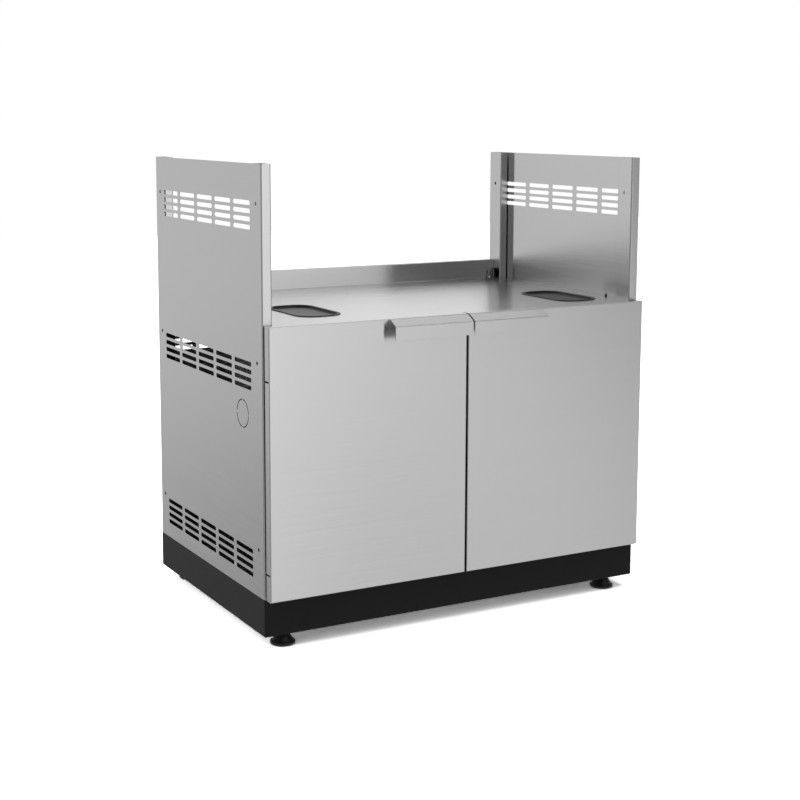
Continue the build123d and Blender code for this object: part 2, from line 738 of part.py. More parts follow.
handle_mid = door_inner + handle_length / 2
handle_rivet_shares = (-0.35, 0.35)
handle_rivet_xs = [handle_mid + handle_length * share for share in handle_rivet_shares]
handle_rivet_z = door_top - handle_flange * 2 / 3
strike_z = catch_top - catch_height / 2
for word, hand in hands.items():
    rivet_places = [(hand * x, door_face, handle_rivet_z) for x in handle_rivet_xs]
    with BuildPart() as skin:
        with Locations((hand * door_mid, door_face + door_thickness / 2, door_bottom + door_height / 2)):
            Box(door_width, door_thickness, door_height)
        fillet(skin.faces().sort_by(Axis.Y)[0].edges(), radius=door_edge_radius)
        offset(amount=-sheet, openings=skin.faces().sort_by(Axis.Y)[-1])
        hinge_slits(hand)
        drill(rivet_places, (0, 1, 0), screw_hole, 2 * sheet)
    save(skin, f"{word}_door_skin")

    with BuildPart() as liner:
        with Locations((hand * door_mid, door_back - sheet / 2, door_bottom + door_height / 2)):
            Box(
                door_width - 2 * (sheet + fit),
                sheet,
                door_height - 2 * (sheet + fit),
            )
        hinge_slits(hand)
    save(liner, f"{word}_door_liner")

    with BuildPart() as handle:
        with BuildSketch(Plane.YZ.offset(hand * door_inner)):
            with BuildLine():
                FilletPolyline(
                    (door_face - handle_sheet / 2, door_top - handle_flange),
                    (door_face - handle_sheet / 2, door_top - handle_sheet / 2),
                    (door_face - handle_reach + handle_sheet / 2, door_top - handle_fall),
                    (door_face - handle_reach + handle_sheet / 2, door_top - handle_fall - handle_lip),
                    radius=bend + handle_sheet / 2,
                )
            trace(line_width=handle_sheet)
        extrude(amount=hand * handle_length)
        drill(rivet_places, (0, 1, 0), screw_hole, 2 * handle_sheet)
    save(handle, f"{word}_door_handle")
    fasteners(
        f"{word}_handle_rivets",
        [Plane(origin=(x, door_face - handle_sheet, z), z_dir=(0, -1, 0)) for x, y, z in rivet_places],
        handle_sheet + sheet,
        rivet_head,
        rivet_head_height,
    )

    with BuildPart() as blocks:
        block_outer = door_outer - sheet - fit
        block_depth = door_thickness - 2 * (sheet + fit)
        for height in hinge_heights:
            with Locations((hand * (block_outer - block_length / 2), door_back - door_thickness / 2, height)):
                Box(block_length, block_depth, block_height)
        hinge_slits(hand)
        pins = [(hand * pivot_x, pivot_y, height) for height in hinge_heights]
        drill(pins, (0, 0, 1), pin_radius + pin_clearance, pin_length)
    save(blocks, f"{word}_hinge_blocks")

    with BuildPart() as hinge_pins:
        with Locations(*pins):
            Cylinder(pin_radius, pin_length)
    save(hinge_pins, f"{word}_hinge_pins")

    with BuildPart() as bumpers:
        bumper_thickness = door_gap - fit
        bumper_places = [
            (hand * (door_inner + bumper_inset), door_back, door_top - bumper_inset),
            (hand * (door_inner + bumper_inset), door_back, door_bottom + bumper_inset),
        ]
        with Locations(*[Plane(origin=place, z_dir=(0, 1, 0)) for place in bumper_places]):
            Cylinder(
                bumper_radius,
                bumper_thickness,
                align=(Align.CENTER, Align.CENTER, Align.MIN),
            )
        fillet(bumpers.edges().group_by(Axis.Y)[-1], radius=bumper_thickness / 3)
    save(bumpers, f"{word}_door_bumpers")

    with BuildPart() as strike:
        with Locations((hand * catch_mid, door_back + sheet / 2, strike_z)):
            Box(strike_width, sheet, strike_height)
        fillet(strike.edges().filter_by(Axis.Y), radius=sheet)
    save(strike, f"{word}_catch_strike")

# Fasteners
fasteners(
    "rear_rail_screws",
    [
        Plane(origin=(hand * (between_posts - sheet), rail_screw_y, height), z_dir=(-hand, 0, 0))
        for hand in hands.values()
        for height in rail_screw_heights
    ],
    2 * sheet + fit,
)
fasteners(
    "front_rail_screws",
    [
        Plane(origin=(hand * (between_posts - sheet), cross_screw_y, height), z_dir=(-hand, 0, 0))
        for hand in hands.values()
        for height in cross_screw_heights
    ],
    2 * sheet + fit,
)
fasteners(
    "back_panel_screws",
    [
        Plane(origin=(hand * (between_posts - sheet), back_screw_y, height), z_dir=(-hand, 0, 0))
        for hand in hands.values()
        for height in back_screw_heights
    ],
    2 * sheet + fit,
)
fasteners(
    "hinge_screws",
    [
        Plane(origin=(x - hand * hinge_plate_thickness, y, z), z_dir=(-hand, 0, 0))
        for hand in hands.values()
        for height in hinge_heights
        for x, y, z in hinge_screw_places(hand, height)
    ],
    hinge_plate_thickness + sheet,
)
fasteners(
    "floor_screws",
    [Plane(origin=place, z_dir=(0, 0, 1)) for place in floor_screws],
    2 * sheet + base_sheet,
)
fasteners(
    "deck_rivets",
    [Plane(origin=(x, front, deck_rivet_z), z_dir=(0, -1, 0)) for x in deck_rivet_xs],
    deck_sheet + sheet,
    rivet_head,
    rivet_head_height,
)
fasteners(
    "catch_screws",
    [
        Plane(origin=(x, y, z - catch_height), z_dir=(0, 0, -1))
        for x, y, z in catch_screw_places
    ],
    catch_height + sheet,
)
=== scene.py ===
# %% [markdown]
# # A stainless outdoor kitchen cabinet
#
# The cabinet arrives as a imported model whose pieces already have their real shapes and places. This file
# gives every surface its finish, adds the small shapes that a sheet metal shop would leave, such as
# screw recesses and threads, and sets up a plain studio around it.

# %% Load the frame
import json
import math

import bmesh
import bpy
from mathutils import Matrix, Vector


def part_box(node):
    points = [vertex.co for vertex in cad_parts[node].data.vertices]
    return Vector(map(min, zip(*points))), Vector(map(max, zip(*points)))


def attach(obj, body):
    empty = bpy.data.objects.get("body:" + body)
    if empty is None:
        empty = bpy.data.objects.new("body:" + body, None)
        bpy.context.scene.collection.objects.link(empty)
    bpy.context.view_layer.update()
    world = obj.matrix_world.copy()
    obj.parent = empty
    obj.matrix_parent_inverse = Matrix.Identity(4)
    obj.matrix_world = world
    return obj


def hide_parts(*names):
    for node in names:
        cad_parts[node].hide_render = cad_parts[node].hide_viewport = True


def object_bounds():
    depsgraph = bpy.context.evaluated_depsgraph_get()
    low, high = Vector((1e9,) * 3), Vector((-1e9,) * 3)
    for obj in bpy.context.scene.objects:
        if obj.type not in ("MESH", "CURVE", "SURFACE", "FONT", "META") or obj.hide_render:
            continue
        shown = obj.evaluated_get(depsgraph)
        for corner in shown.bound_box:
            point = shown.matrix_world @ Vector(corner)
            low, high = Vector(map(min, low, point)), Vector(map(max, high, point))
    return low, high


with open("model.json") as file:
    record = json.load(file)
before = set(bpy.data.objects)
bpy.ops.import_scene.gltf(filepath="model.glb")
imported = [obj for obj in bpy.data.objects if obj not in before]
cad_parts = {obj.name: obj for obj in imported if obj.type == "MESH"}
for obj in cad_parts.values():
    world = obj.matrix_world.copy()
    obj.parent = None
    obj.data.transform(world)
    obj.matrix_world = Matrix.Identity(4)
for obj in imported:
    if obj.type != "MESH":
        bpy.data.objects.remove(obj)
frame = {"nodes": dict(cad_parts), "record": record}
cad_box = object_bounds()
record = frame["record"]
nodes = frame["nodes"]
body_of = {name: body for body, names in record["behaviour"]["bodies"].items() for name in names}
slot_of = {part["node"]: part["material_slot"] for part in record["subparts"]}

# %% [markdown]
# ## The camera
#
# A product photographer stands well back with a long lens, so that upright edges stay nearly parallel.
# The camera looks a little downwards, and a small shift keeps the cabinet in the middle of the frame.
# Its place was found by matching edges of the real object to the model.

# %% Camera
MM = 0.001
CAMERA_PLACE = Vector((-1526.0, -2702.5, 981.0)) * MM
CAMERA_TURN = math.radians(28.08)  # to the right of straight ahead
CAMERA_DIP = math.radians(7.70)
LENS = 68.55  # focal length in millimetres, on a sensor of the next line's width
SENSOR = 36.0
SHIFT_RIGHT = 0.045  # both shifts are shares of the picture's width
SHIFT_DOWN = -0.10

camera_data = bpy.data.cameras.new("camera")
camera_data.lens = LENS
camera_data.sensor_width = SENSOR
camera_data.shift_x = SHIFT_RIGHT
camera_data.shift_y = SHIFT_DOWN
camera = bpy.data.objects.new("camera", camera_data)
camera.location = CAMERA_PLACE
camera.rotation_euler = (math.pi / 2 - CAMERA_DIP, 0, -CAMERA_TURN)
bpy.context.scene.collection.objects.link(camera)
bpy.context.scene.camera = camera
bpy.context.scene.view_settings.view_transform = "Standard"
print("camera at", tuple(round(v, 3) for v in camera.location))

# %% [markdown]
# ## Small helpers for materials
#
# Hex colours are written as a screen shows them, and Blender computes in linear light, so one function
# turns the one into the other. A second function adds a node with its settings and its links, which
# keeps each material and each geometry tree short enough to read at a glance.

# %% Material helpers


def linear(hex_colour):
    """Turns an sRGB hex colour into linear red, green, blue and a full alpha."""
    channels = [int(hex_colour[i:i + 2], 16) / 255 for i in (1, 3, 5)]
    return [c / 12.92 if c <= 0.04045 else ((c + 0.055) / 1.055) ** 2.4 for c in channels] + [1.0]


def add_node(tree, kind, inputs=None, **settings):
    """Adds a node. An input's value is either a plain value or a socket that feeds it."""
    node = tree.nodes.new(kind)
    for name, value in settings.items():
        setattr(node, name, value)
    for key, value in (inputs or {}).items():
        if isinstance(value, bpy.types.NodeSocket):
            tree.links.new(value, node.inputs[key])
        else:
            node.inputs[key].default_value = value
    return node


def new_material(name):
    """An empty node material with its surface shader."""
    material = bpy.data.materials.new(name)
    material.use_nodes = True
    tree = material.node_tree
    tree.nodes.clear()
    shader = add_node(tree, "ShaderNodeBsdfPrincipled")
    add_node(tree, "ShaderNodeOutputMaterial", {"Surface": shader.outputs[0]})
    return material, tree, shader


# %% [markdown]
# ## The studio
#
# Brushed steel shows little of its own and much of the room around it, so the room is drawn first. A
# white screen stands to the right of the camera and lights the doors. A pale wall behind on the left
# lights the side panel, a second screen behind on the right lights the deck, and the side where the
# photographer stands is dark. Each row of the table is a direction, given as a share of a full turn
# from straight behind through the left, with the room's brightness at four elevations: below the
# horizon, just below it, just above it and high up. The real room is not known. The rows were listed
# with a least-squares fit of the panels' tones as a guide, and then changed a few at a time until the
# tones came near the real ones, so they are a guess that works from where the camera stands. Looking
# steeply down, every side sees the same pale floor. Only mirrored rays see this room. The camera sees
# plain white, and dull surfaces get an even light that is stronger from the left.

# %% World
FLOOR_BELOW = (0.62, 0.62, 0.62, 1.0)
ELEVATIONS = (-45, -18, -8, 2, 35)  # degrees; the first is where the floor below takes over
ROOM = (  # share of a turn, then brightness at each of the other elevations
    (0.00, 0.30, 0.32, 0.30, 0.50),  # straight behind
    (0.04, 0.43, 0.71, 0.67, 0.98),  # pale wall behind on the left
    (0.075, 0.24, 0.70, 0.62, 0.95),
    (0.11, 0.12, 0.84, 0.90, 0.38),
    (0.16, 0.20, 0.28, 0.30, 0.40),
    (0.25, 0.35, 0.40, 0.45, 0.50),  # the left
    (0.34, 0.40, 0.35, 0.30, 0.40),
    (0.38, 0.45, 0.20, 0.26, 0.25),  # the photographer's dark side
    (0.48, 0.50, 0.28, 0.22, 0.40),
    (0.53, 0.50, 0.46, 0.52, 0.62),
    (0.56, 0.90, 1.22, 1.28, 1.00),  # white screen that lights the doors
    (0.58, 0.62, 0.98, 1.00, 0.98),
    (0.60, 0.74, 0.98, 0.20, 0.40),
    (0.63, 0.60, 0.40, 0.02, 0.25),
    (0.67, 0.50, 0.38, 0.20, 0.60),
    (0.71, 0.45, 0.36, 0.30, 1.30),  # a brighter patch high on the right
    (0.78, 0.42, 0.38, 0.36, 0.70),
    (0.81, 0.40, 0.38, 0.38, 0.40),
    (0.836, 0.40, 0.38, 0.40, 0.30),
    (0.85, 0.40, 0.42, 0.50, 1.25),
    (0.88, 0.40, 0.45, 0.70, 0.95),
    (0.92, 0.40, 0.60, 1.32, 0.85),  # second screen, behind on the right
    (0.96, 0.32, 0.38, 0.40, 0.50),
    (1.00, 0.30, 0.32, 0.30, 0.50),
)
EVEN_LIGHT = 0.28
LEFT_LIGHT = 2.1
BEHIND_SHARE = 1.0  # straight behind, as a share of a turn before whole turns are dropped


def room_band(tree, turn, column):
    """One band of the room as a ramp of brightness round the turn."""
    ramp = add_node(tree, "ShaderNodeValToRGB", {0: turn})
    elements = ramp.color_ramp.elements
    elements[0].position, elements[1].position = ROOM[0][0], ROOM[-1][0]
    for row in ROOM[1:-1]:
        elements.new(row[0])
    for element, row in zip(elements, ROOM):
        element.color = (row[column], row[column], row[column], 1.0)
    return ramp.outputs[0]


world = bpy.data.worlds.new("studio")
bpy.context.scene.world = world
world.use_nodes = True
tree = world.node_tree
tree.nodes.clear()
direction = add_node(tree, "ShaderNodeTexCoord").outputs["Generated"]
parts = add_node(tree, "ShaderNodeSeparateXYZ", {0: direction}).outputs
angle = add_node(tree, "ShaderNodeMath", {0: parts[0], 1: parts[1]}, operation="ARCTAN2")
# ARCTAN2 of X and Y is zero straight behind and negative on the left; the two ends below turn it round
# and keep it above zero, so that its remainder after whole turns is the share of a turn
share = add_node(
    tree, "ShaderNodeMapRange",
    {"Value": angle.outputs[0], "From Min": -math.pi, "From Max": math.pi,
     "To Min": BEHIND_SHARE + 0.5, "To Max": BEHIND_SHARE - 0.5},
)
turn = add_node(tree, "ShaderNodeMath", {0: share.outputs[0], 1: 1.0}, operation="MODULO").outputs[0]
heights = [math.sin(math.radians(elevation)) for elevation in ELEVATIONS]
room = FLOOR_BELOW
for column, (below, above) in enumerate(zip(heights, heights[1:]), start=1):
    rise = add_node(tree, "ShaderNodeMapRange", {"Value": parts[2], "From Min": below, "From Max": above})
    room = add_node(
        tree, "ShaderNodeMix", {0: rise.outputs[0], 6: room, 7: room_band(tree, turn, column)},
        data_type="RGBA").outputs[2]
left = add_node(tree, "ShaderNodeMath", {0: parts[0], 1: -1.0}, operation="MULTIPLY", use_clamp=True)
left_squared = add_node(
    tree, "ShaderNodeMath", {0: left.outputs[0], 1: left.outputs[0]}, operation="MULTIPLY")
soft = add_node(
    tree, "ShaderNodeMath", {0: left_squared.outputs[0], 1: LEFT_LIGHT, 2: EVEN_LIGHT},
    operation="MULTIPLY_ADD")
rays = add_node(tree, "ShaderNodeLightPath").outputs
seen = add_node(
    tree, "ShaderNodeMath", {0: rays["Is Camera Ray"], 1: rays["Is Transmission Ray"]}, operation="MAXIMUM")
dull = add_node(tree, "ShaderNodeBackground", {"Color": linear("#FFFFFF"), "Strength": soft.outputs[0]})
mirrored = add_node(tree, "ShaderNodeBackground", {"Color": room, "Strength": 1.0})
white = add_node(tree, "ShaderNodeBackground", {"Color": linear("#FFFFFF"), "Strength": 1.0})
lit = add_node(
    tree, "ShaderNodeMixShader", {0: rays["Is Glossy Ray"], 1: dull.outputs[0], 2: mirrored.outputs[0]})
final = add_node(tree, "ShaderNodeMixShader", {0: seen.outputs[0], 1: lit.outputs[0], 2: white.outputs[0]})
add_node(tree, "ShaderNodeOutputWorld", {"Surface": final.outputs[0]})
print("room rows", len(ROOM))

# %% [markdown]
# ## The floor and the lamp
#
# A sheet of white paper lies under the cabinet. The camera sees it overexposed, as a photographer would
# light it, so that it reads as pure white and only the deep shadow under the base is left. Mirrored
# rays pass it by and see the room table instead, which already says how bright the floor is from each
# side. One large soft box hangs overhead for the dull surfaces and the shadow.

# %% Floor and lamp
FLOOR_HALF = 9.0
FLOOR_TO_CAMERA = "#F0F0F0"
FLOOR_TO_OTHERS = "#8C8A88"
OVEREXPOSURE = 3.6

floor_mesh = bpy.data.meshes.new("floor")
signs = ((-1, -1), (1, -1), (1, 1), (-1, 1))
floor_mesh.from_pydata([(x * FLOOR_HALF, y * FLOOR_HALF, 0) for x, y in signs], [], [(0, 1, 2, 3)])
floor = bpy.data.objects.new("floor", floor_mesh)
bpy.context.scene.collection.objects.link(floor)
floor.visible_glossy = False
paper = bpy.data.materials.new("white_paper_sweep")
paper.use_nodes = True
tree = paper.node_tree
tree.nodes.clear()
rays = add_node(tree, "ShaderNodeLightPath").outputs
overexposed = [c * OVEREXPOSURE for c in linear(FLOOR_TO_CAMERA)[:3]] + [1.0]
to_camera = add_node(tree, "ShaderNodeBsdfDiffuse", {"Color": overexposed})
to_others = add_node(tree, "ShaderNodeBsdfDiffuse", {"Color": linear(FLOOR_TO_OTHERS)})
mixed = add_node(
    tree, "ShaderNodeMixShader",
    {0: rays["Is Camera Ray"], 1: to_others.outputs[0], 2: to_camera.outputs[0]})
add_node(tree, "ShaderNodeOutputMaterial", {"Surface": mixed.outputs[0]})
floor_mesh.materials.append(paper)

BOX_PLACE = Vector((0.4, -0.6, 3.4))
BOX_TARGET = Vector((0, 0, 0.4))
BOX_SIZE = 2.6
BOX_POWER = 45  # watts
lamp = bpy.data.lights.new("overhead_box", "AREA")
lamp.shape = "SQUARE"
lamp.size = BOX_SIZE
lamp.energy = BOX_POWER
overhead_box = bpy.data.objects.new("overhead_box", lamp)
overhead_box.location = BOX_PLACE
overhead_box.rotation_euler = (BOX_TARGET - BOX_PLACE).to_track_quat("-Z", "Y").to_euler()
overhead_box.visible_glossy = False
bpy.context.scene.collection.objects.link(overhead_box)
print("soft box", lamp.size, "m wide")

# %% [markdown]
# ## Brushed stainless steel
#
# The panels are cold-rolled stainless sheet, brushed with a belt to a fine straight grain and then cut
# and folded. The belt leaves long scratches that run across each panel, level with the ground. They
# mirror the room sharply along the grain and smear it across the grain, which is why a post's
# reflection in the deck stays crisp at its sides but runs on towards the viewer. An anisotropic
# surface does that. The scratches themselves are a noise stretched along the grain, and a slower noise
# adds the broad sheen of the belt. The grain on the folded lips of the side panels is taken to run up
# and down, because the real lips change tone sharply on the way down. Only what shows is brushed:
# inside the cabinet the sheet has the dull skin that the rolling mill gave it, and its colour there is
# painted darker still, as painted shade of the closed box, so that the vents look black against it.

# %% Brushed stainless
STEEL = "#D0CFD0"
# inside the cabinet: the dull mill skin, painted darker than the skin alone as shade of the closed box
MILL_SKIN_AND_SHADE = "#A9AAAC"
MILL_ROUGHNESS = 0.62
GRAIN_MM = 1.4  # real grain is about 0.2 mm; drawn coarser, so that it shows
GRAIN_LENGTH_MM = 160.0
SCRATCH_MM = 0.08  # depth; drawn deeper than real, so that it shows
GRAIN_DETAIL = 3.0
GRAIN_BREAKUP = 0.65
GRAIN_SHARE = 0.75  # the rest is sheen
STREAK_LIFT = 0.125  # keeps the mix a little above its middle
SHEEN_MM = 26.0
SHEEN_LENGTHS = 4  # grain lengths in one patch of sheen
SHEEN_DETAIL = 1.0
STEEL_GLOSS_SPREAD = 0.03
STEEL_BUMP = 0.6
NOISE_LOW, NOISE_HIGH = 0.3, 0.7  # where most of a noise's values lie
UPRIGHT_LIMIT = 0.7  # the cosine of about 45 degrees; a face nearer to level than that counts as flat
LIP_MARGIN_MM = 2.0
SKIN_MM = 0.5  # how deep under an outer face the inside starts
# the inside, where the sheet gets the mill skin and painted shade, starts just under the outer faces
inside_reach = cad_box[1][0] - SKIN_MM * MM
inside_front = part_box("left_side_panel")[0][1] + SKIN_MM * MM
inside_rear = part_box("back_panel")[0][1] + SKIN_MM * MM
inside_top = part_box("left_door_skin")[1][2] - 2 * SKIN_MM * MM  # the doors end level with the deck
lips_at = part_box("right_side_panel")[0][0]
print("mill finish up to", [round(v, 4) for v in (inside_reach, inside_front, inside_rear, inside_top)])


def stretched(tree, point, across_mm, along_mm, flat):
    """Object coordinates scaled so that noise becomes streaks along the grain of upright or flat faces."""
    fast, slow = 1 / (across_mm * MM), 1 / (along_mm * MM)
    upright_grain = add_node(
        tree, "ShaderNodeVectorMath", {0: point, 1: (slow, slow, fast)}, operation="MULTIPLY")
    flat_grain = add_node(
        tree, "ShaderNodeVectorMath", {0: point, 1: (slow, fast, slow)}, operation="MULTIPLY")
    return add_node(
        tree, "ShaderNodeMix", {0: flat, 4: upright_grain.outputs[0], 5: flat_grain.outputs[0]},
        data_type="VECTOR").outputs[1]


def inside(tree, point):
    """1 where a point lies inside the cabinet, below the deck and between its outer sheets."""
    place = add_node(tree, "ShaderNodeSeparateXYZ", {0: point}).outputs
    reach = add_node(tree, "ShaderNodeMath", {0: place[0]}, operation="ABSOLUTE").outputs[0]
    tests = (
        (reach, "LESS_THAN", inside_reach),
        (place[1], "GREATER_THAN", inside_front),
        (place[1], "LESS_THAN", inside_rear),
        (place[2], "LESS_THAN", inside_top),
    )
    both = 1.0
    for value, operation, limit in tests:
        passed = add_node(tree, "ShaderNodeMath", {0: value, 1: limit}, operation=operation).outputs[0]
        both = add_node(tree, "ShaderNodeMath", {0: passed, 1: both}, operation="MULTIPLY").outputs[0]
    return both


def on_a_lip(tree, point, sideways):
    """1 on the folded lips of the side panels, where the grain is taken to run up and down."""
    across = add_node(tree, "ShaderNodeSeparateXYZ", {0: point}).outputs[0]
    reach = add_node(tree, "ShaderNodeMath", {0: across}, operation="ABSOLUTE").outputs[0]
    near = add_node(
        tree, "ShaderNodeMath", {0: reach, 1: lips_at, 2: LIP_MARGIN_MM * MM}, operation="COMPARE")
    turned = add_node(tree, "ShaderNodeMath", {0: sideways}, operation="ABSOLUTE").outputs[0]
    sideways_face = add_node(
        tree, "ShaderNodeMath", {0: turned, 1: UPRIGHT_LIMIT}, operation="GREATER_THAN")
    return add_node(
        tree, "ShaderNodeMath", {0: near.outputs[0], 1: sideways_face.outputs[0]},
        operation="MULTIPLY").outputs[0]


def brushed_stainless(name, colour, roughness, anisotropy, contrast):
    """Stainless sheet with a level grain, blurred across the grain and sharp along it."""
    material, tree, shader = new_material(name)
    point = add_node(tree, "ShaderNodeTexCoord").outputs["Object"]
    normal = add_node(tree, "ShaderNodeNewGeometry").outputs["Normal"]
    facing = add_node(tree, "ShaderNodeSeparateXYZ", {0: normal}).outputs
    steep = add_node(tree, "ShaderNodeMath", {0: facing[2]}, operation="ABSOLUTE").outputs[0]
    level = add_node(
        tree, "ShaderNodeMath", {0: steep, 1: UPRIGHT_LIMIT}, operation="GREATER_THAN").outputs[0]
    flat = add_node(
        tree, "ShaderNodeMath", {0: level, 1: on_a_lip(tree, point, facing[0])},
        operation="MAXIMUM").outputs[0]
    grain = add_node(
        tree, "ShaderNodeTexNoise",
        {"Vector": stretched(tree, point, GRAIN_MM, GRAIN_LENGTH_MM, flat), "Scale": 1.0,
         "Detail": GRAIN_DETAIL, "Roughness": GRAIN_BREAKUP},
    ).outputs[0]
    sheen = add_node(
        tree, "ShaderNodeTexNoise",
        {"Vector": stretched(tree, point, SHEEN_MM, GRAIN_LENGTH_MM * SHEEN_LENGTHS, flat), "Scale": 1.0,
         "Detail": SHEEN_DETAIL},
    ).outputs[0]
    streaks = add_node(
        tree, "ShaderNodeMath", {0: grain, 1: GRAIN_SHARE, 2: STREAK_LIFT},
        operation="MULTIPLY_ADD").outputs[0]
    both = add_node(
        tree, "ShaderNodeMath", {0: sheen, 1: 1 - GRAIN_SHARE, 2: streaks},
        operation="MULTIPLY_ADD").outputs[0]
    steel = linear(colour)[:3]
    brushed = add_node(
        tree, "ShaderNodeMix",
        {0: both, 6: [c * (1 - contrast) for c in steel] + [1.0],
         7: [c * (1 + contrast) for c in steel] + [1.0]},
        data_type="RGBA").outputs[2]
    hidden = inside(tree, point)
    # inside the cabinet the colour is the mill skin with painted shade, darker than the brushed sheet
    tone = add_node(
        tree, "ShaderNodeMix", {0: hidden, 6: brushed, 7: linear(MILL_SKIN_AND_SHADE)}, data_type="RGBA")
    gloss = add_node(
        tree, "ShaderNodeMapRange",
        {"Value": both, "From Min": NOISE_LOW, "From Max": NOISE_HIGH,
         "To Min": roughness - STEEL_GLOSS_SPREAD, "To Max": roughness + STEEL_GLOSS_SPREAD},
    )
    rough = add_node(
        tree, "ShaderNodeMix", {0: hidden, 2: gloss.outputs[0], 3: MILL_ROUGHNESS}, data_type="FLOAT")
    across = add_node(tree, "ShaderNodeMix", {0: flat, 4: (0, 0, 1), 5: (0, 1, 0)}, data_type="VECTOR")
    bump = add_node(
        tree, "ShaderNodeBump",
        {"Strength": STEEL_BUMP, "Distance": SCRATCH_MM * MM, "Height": grain})
    tree.links.new(tone.outputs[2], shader.inputs["Base Color"])
    tree.links.new(rough.outputs[0], shader.inputs["Roughness"])
    tree.links.new(across.outputs[1], shader.inputs["Tangent"])
    tree.links.new(bump.outputs[0], shader.inputs["Normal"])
    shader.inputs["Metallic"].default_value = 1.0
    shader.inputs["Anisotropic"].default_value = anisotropy
    return material


# %% [markdown]
# ## Paint, plating, plastic and rubber
#
# The base is folded mild steel with a black powder coat, which flows into a fine orange peel and gives
# back little of the room. The brackets, pins and studs are zinc plated: bluish, with a faint mottle.
# The feet are moulded nylon and the grommets are rubber, both near black, and told apart by their
# gloss. One function makes them all, because they differ only in colour, gloss and grain size.

# %% Other finishes
PLASTIC_SPECULAR = 0.5
COAT_SPECULAR = 0.12  # a fine texture scatters most of what a smooth coat would mirror
SPECKLE_DETAIL = 2.0
SPECKLE_BREAKUP = 0.5
SPECKLE_GLOSS_SPREAD = 0.05
SPECKLE_BUMP = 0.2


def speckled(name, colour, roughness, grain_mm, bump_mm, spread, metallic=0.0, specular=PLASTIC_SPECULAR):
    """A finish with an even, directionless grain in its colour, gloss and surface."""
    material, tree, shader = new_material(name)
    point = add_node(tree, "ShaderNodeTexCoord").outputs["Object"]
    grain = add_node(
        tree, "ShaderNodeTexNoise",
        {"Vector": point, "Scale": 1 / (grain_mm * MM), "Detail": SPECKLE_DETAIL,
         "Roughness": SPECKLE_BREAKUP},
    ).outputs[0]
    base = linear(colour)[:3]
    tone = add_node(
        tree, "ShaderNodeMix",
        {0: grain, 6: [c * (1 - spread) for c in base] + [1.0],
         7: [c * (1 + spread) for c in base] + [1.0]},
        data_type="RGBA")
    gloss = add_node(
        tree, "ShaderNodeMapRange",
        {"Value": grain, "From Min": NOISE_LOW, "From Max": NOISE_HIGH,
         "To Min": roughness - SPECKLE_GLOSS_SPREAD, "To Max": roughness + SPECKLE_GLOSS_SPREAD},
    )
    bump = add_node(
        tree, "ShaderNodeBump",
        {"Strength": SPECKLE_BUMP, "Distance": bump_mm * MM, "Height": grain})
    tree.links.new(tone.outputs[2], shader.inputs["Base Color"])
    tree.links.new(gloss.outputs[0], shader.inputs["Roughness"])
    tree.links.new(bump.outputs[0], shader.inputs["Normal"])
    shader.inputs["Metallic"].default_value = metallic
    shader.inputs["Specular IOR Level"].default_value = specular
    return material


finishes = {
    # 304 sheet with a belt grain: satin, and sharp along the grain
    "brushed_stainless": brushed_stainless(
        "brushed_stainless_sheet", STEEL, roughness=0.165, anisotropy=1.0, contrast=0.06),
    # polyester powder baked on steel: deep black, soft gloss, fine orange peel
    "black_powder_coat": speckled(
        "black_powder_coat", "#262628", roughness=0.45, grain_mm=1.8, bump_mm=0.06, spread=0.15,
        specular=COAT_SPECULAR),
    # bright zinc: bluish white with a cloudy mottle
    "zinc_plated_steel": speckled(
        "zinc_plated_steel", "#B9BCC0", roughness=0.32, grain_mm=6.0, bump_mm=0.02, spread=0.1,
        metallic=1.0),
    # cold-headed stainless: smoother and brighter than the sheet
    "stainless_fastener": speckled(
        "headed_stainless", "#C4C3C2", roughness=0.25, grain_mm=1.0, bump_mm=0.02, spread=0.05,
        metallic=1.0),
    # injection-moulded nylon: near black with a spark-eroded grain
    "black_nylon": speckled(
        "moulded_black_nylon", "#141416", roughness=0.38, grain_mm=0.9, bump_mm=0.03, spread=0.25),
    # moulded ABS of the catches: mid grey, even
    "catch_plastic": speckled(
        "moulded_grey_abs", "#8B8C8E", roughness=0.45, grain_mm=0.8, bump_mm=0.02, spread=0.08),
    # sintered ferrite: charcoal, dull, slightly grainy
    "ferrite_magnet": speckled(
        "sintered_ferrite", "#3A393B", roughness=0.6, grain_mm=0.5, bump_mm=0.03, spread=0.2),
    # moulded rubber of the grommets: black with a low sheen
    "black_rubber": speckled(
        "moulded_black_rubber", "#131314", roughness=0.40, grain_mm=0.8, bump_mm=0.03, spread=0.25),
    # soft polyurethane of the door bumpers: pale grey and dull
    "bumper_rubber": speckled(
        "soft_grey_polyurethane", "#A9A9A8", roughness=0.6, grain_mm=0.8, bump_mm=0.02, spread=0.08),
}
for name, node in nodes.items():
    node.data.materials.clear()
    node.data.materials.append(finishes[slot_of[name]])
print("finishes", len(finishes))

# %% [markdown]
# ## Helpers for small parts
#
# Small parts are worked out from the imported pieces, so they always sit where the cabinet carries them.
# A packed fastener node is a group of separate solids. The first helper tells them apart. The second
# runs a node tree on a starting mesh and keeps what it makes as a plain mesh, because an exported
# model can't hold a live tree.

# %% Helpers for small parts
SEAM = 1e-6
SMOOTH_BELOW = math.radians(38)


def loose_solids(name):
    """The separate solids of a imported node, each as a list of its points."""
    mesh = bmesh.new()
    mesh.from_mesh(nodes[name].data)
    bmesh.ops.remove_doubles(mesh, verts=mesh.verts, dist=SEAM)
    seen, solids = set(), []
    for start in mesh.verts:
        if start in seen:
            continue
        seen.add(start)
        waiting, solid = [start], []
        while waiting:
            point = waiting.pop()
            solid.append(point.co.copy())
            for edge in point.link_edges:
                other = edge.other_vert(point)
                if other not in seen:
                    seen.add(other)
                    waiting.append(other)
        solids.append(solid)
    mesh.free()
    return solids


